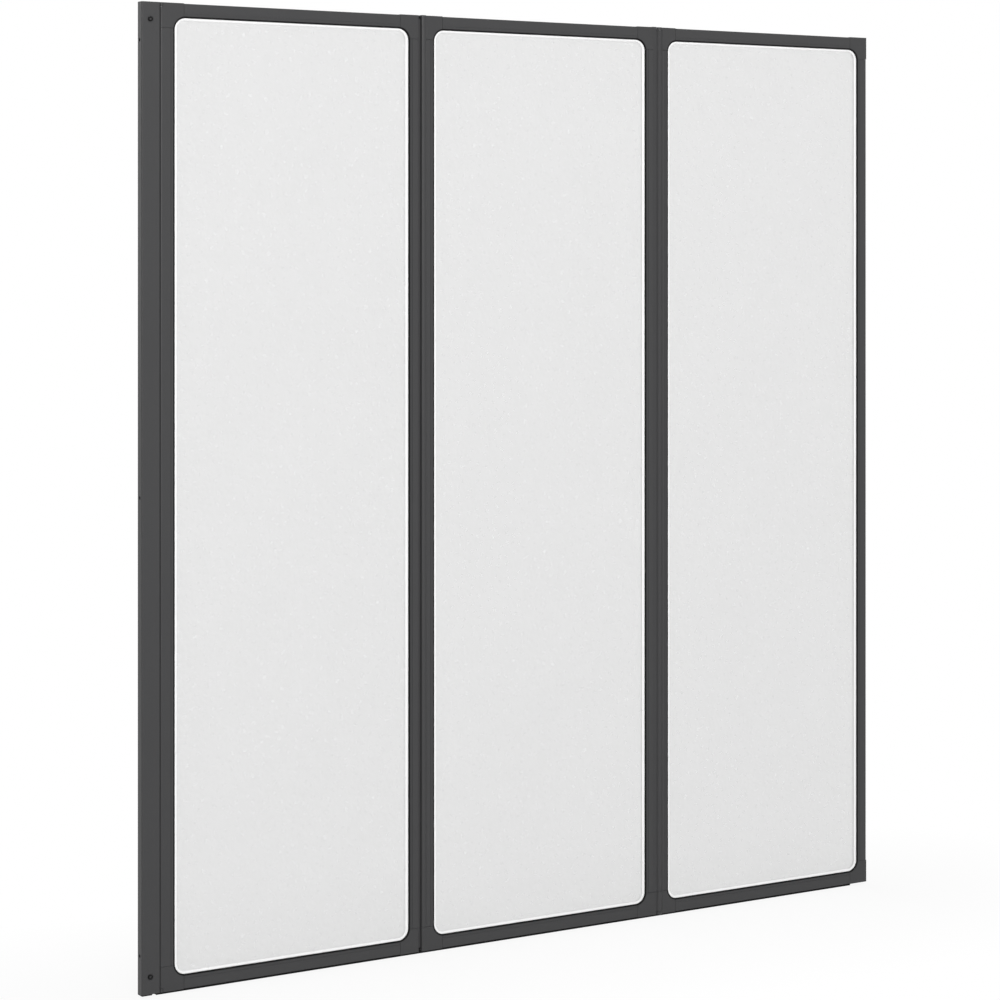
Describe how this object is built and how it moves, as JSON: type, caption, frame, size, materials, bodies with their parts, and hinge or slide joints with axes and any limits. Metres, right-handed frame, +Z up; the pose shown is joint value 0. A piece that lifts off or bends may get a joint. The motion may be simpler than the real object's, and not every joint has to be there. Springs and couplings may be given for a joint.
{
  "type": "folding shower screen",
  "caption": "Framed shower screen for a bath rim: wall profile, hinged leaves that fold flat against each other, textured panes and bottom seals.",
  "frame": {"origin": "On the wall plane at the centre of the middle wall fixing hole, at mid-height of the frame and mid-depth of the screen.", "axes": "+X away from the wall along the closed screen, +Y to the back, -Y to the pictured front, +Z up."},
  "size_m": [1.3, 0.0204, 1.4],
  "materials": {
    "frame_paint": "satin anthracite powder coat on aluminium sections",
    "inner_profile": "satin anthracite powder coat",
    "corner_plastic": "fine moulded anthracite plastic",
    "pane": "clear acrylic with a drop relief",
    "gasket": "soft black glazing gasket",
    "seal": "soft dark sealing strip",
    "pin_steel": "ground steel",
    "washer_plastic": "black nylon",
    "screw_paint": "dark coated steel"
  },
  "bodies": {
    "wall_side": {"wall_profile": "frame_paint", "wall_profile_foot": "seal", "adjusting_profile": "inner_profile", "locking_screws": "screw_paint", "wall_hinge_block_top": "corner_plastic", "wall_hinge_block_bottom": "corner_plastic", "wall_hinge_pins": "pin_steel", "wall_hinge_washers": "washer_plastic"},
    "leaf_1": {"leaf_1_top_rail": "frame_paint", "leaf_1_bottom_rail": "frame_paint", "leaf_1_left_stile": "frame_paint", "leaf_1_right_stile": "frame_paint", "leaf_1_top_left_corner": "corner_plastic", "leaf_1_top_right_corner": "corner_plastic", "leaf_1_bottom_left_corner": "corner_plastic", "leaf_1_bottom_right_corner": "corner_plastic", "leaf_1_pane": "pane", "leaf_1_gasket": "gasket", "leaf_1_bottom_seal": "seal", "fold_1_2_pins": "pin_steel", "fold_1_2_washers": "washer_plastic"},
    "leaf_2": {"leaf_2_top_rail": "frame_paint", "leaf_2_bottom_rail": "frame_paint", "leaf_2_left_stile": "frame_paint", "leaf_2_right_stile": "frame_paint", "leaf_2_top_left_corner": "corner_plastic", "leaf_2_top_right_corner": "corner_plastic", "leaf_2_bottom_left_corner": "corner_plastic", "leaf_2_bottom_right_corner": "corner_plastic", "leaf_2_pane": "pane", "leaf_2_gasket": "gasket", "leaf_2_bottom_seal": "seal", "fold_1_2_hinge_profile": "frame_paint", "fold_2_3_hinge_profile": "frame_paint"},
    "leaf_3": {"leaf_3_top_rail": "frame_paint", "leaf_3_bottom_rail": "frame_paint", "leaf_3_left_stile": "frame_paint", "leaf_3_right_stile": "frame_paint", "leaf_3_top_left_corner": "corner_plastic", "leaf_3_top_right_corner": "corner_plastic", "leaf_3_bottom_left_corner": "corner_plastic", "leaf_3_bottom_right_corner": "corner_plastic", "leaf_3_pane": "pane", "leaf_3_gasket": "gasket", "leaf_3_bottom_seal": "seal", "fold_2_3_pins": "pin_steel", "fold_2_3_washers": "washer_plastic"}
  },
  "joints": [
    {"name": "wall_swing", "type": "hinge", "parent": "wall_side", "child": "leaf_1", "pos_m": [0.0313, -0.004, 0], "axis": [0, 0, -1], "range_deg": [0, 90]},
    {"name": "fold_1_2", "type": "hinge", "parent": "leaf_1", "child": "leaf_2", "pos_m": [0.4473, 0.0075, 0], "axis": [0, 0, 1], "range_deg": [0, 180]},
    {"name": "fold_2_3", "type": "hinge", "parent": "leaf_2", "child": "leaf_3", "pos_m": [0.8832, -0.0075, 0], "axis": [0, 0, -1], "range_deg": [0, 180]}
  ]
}
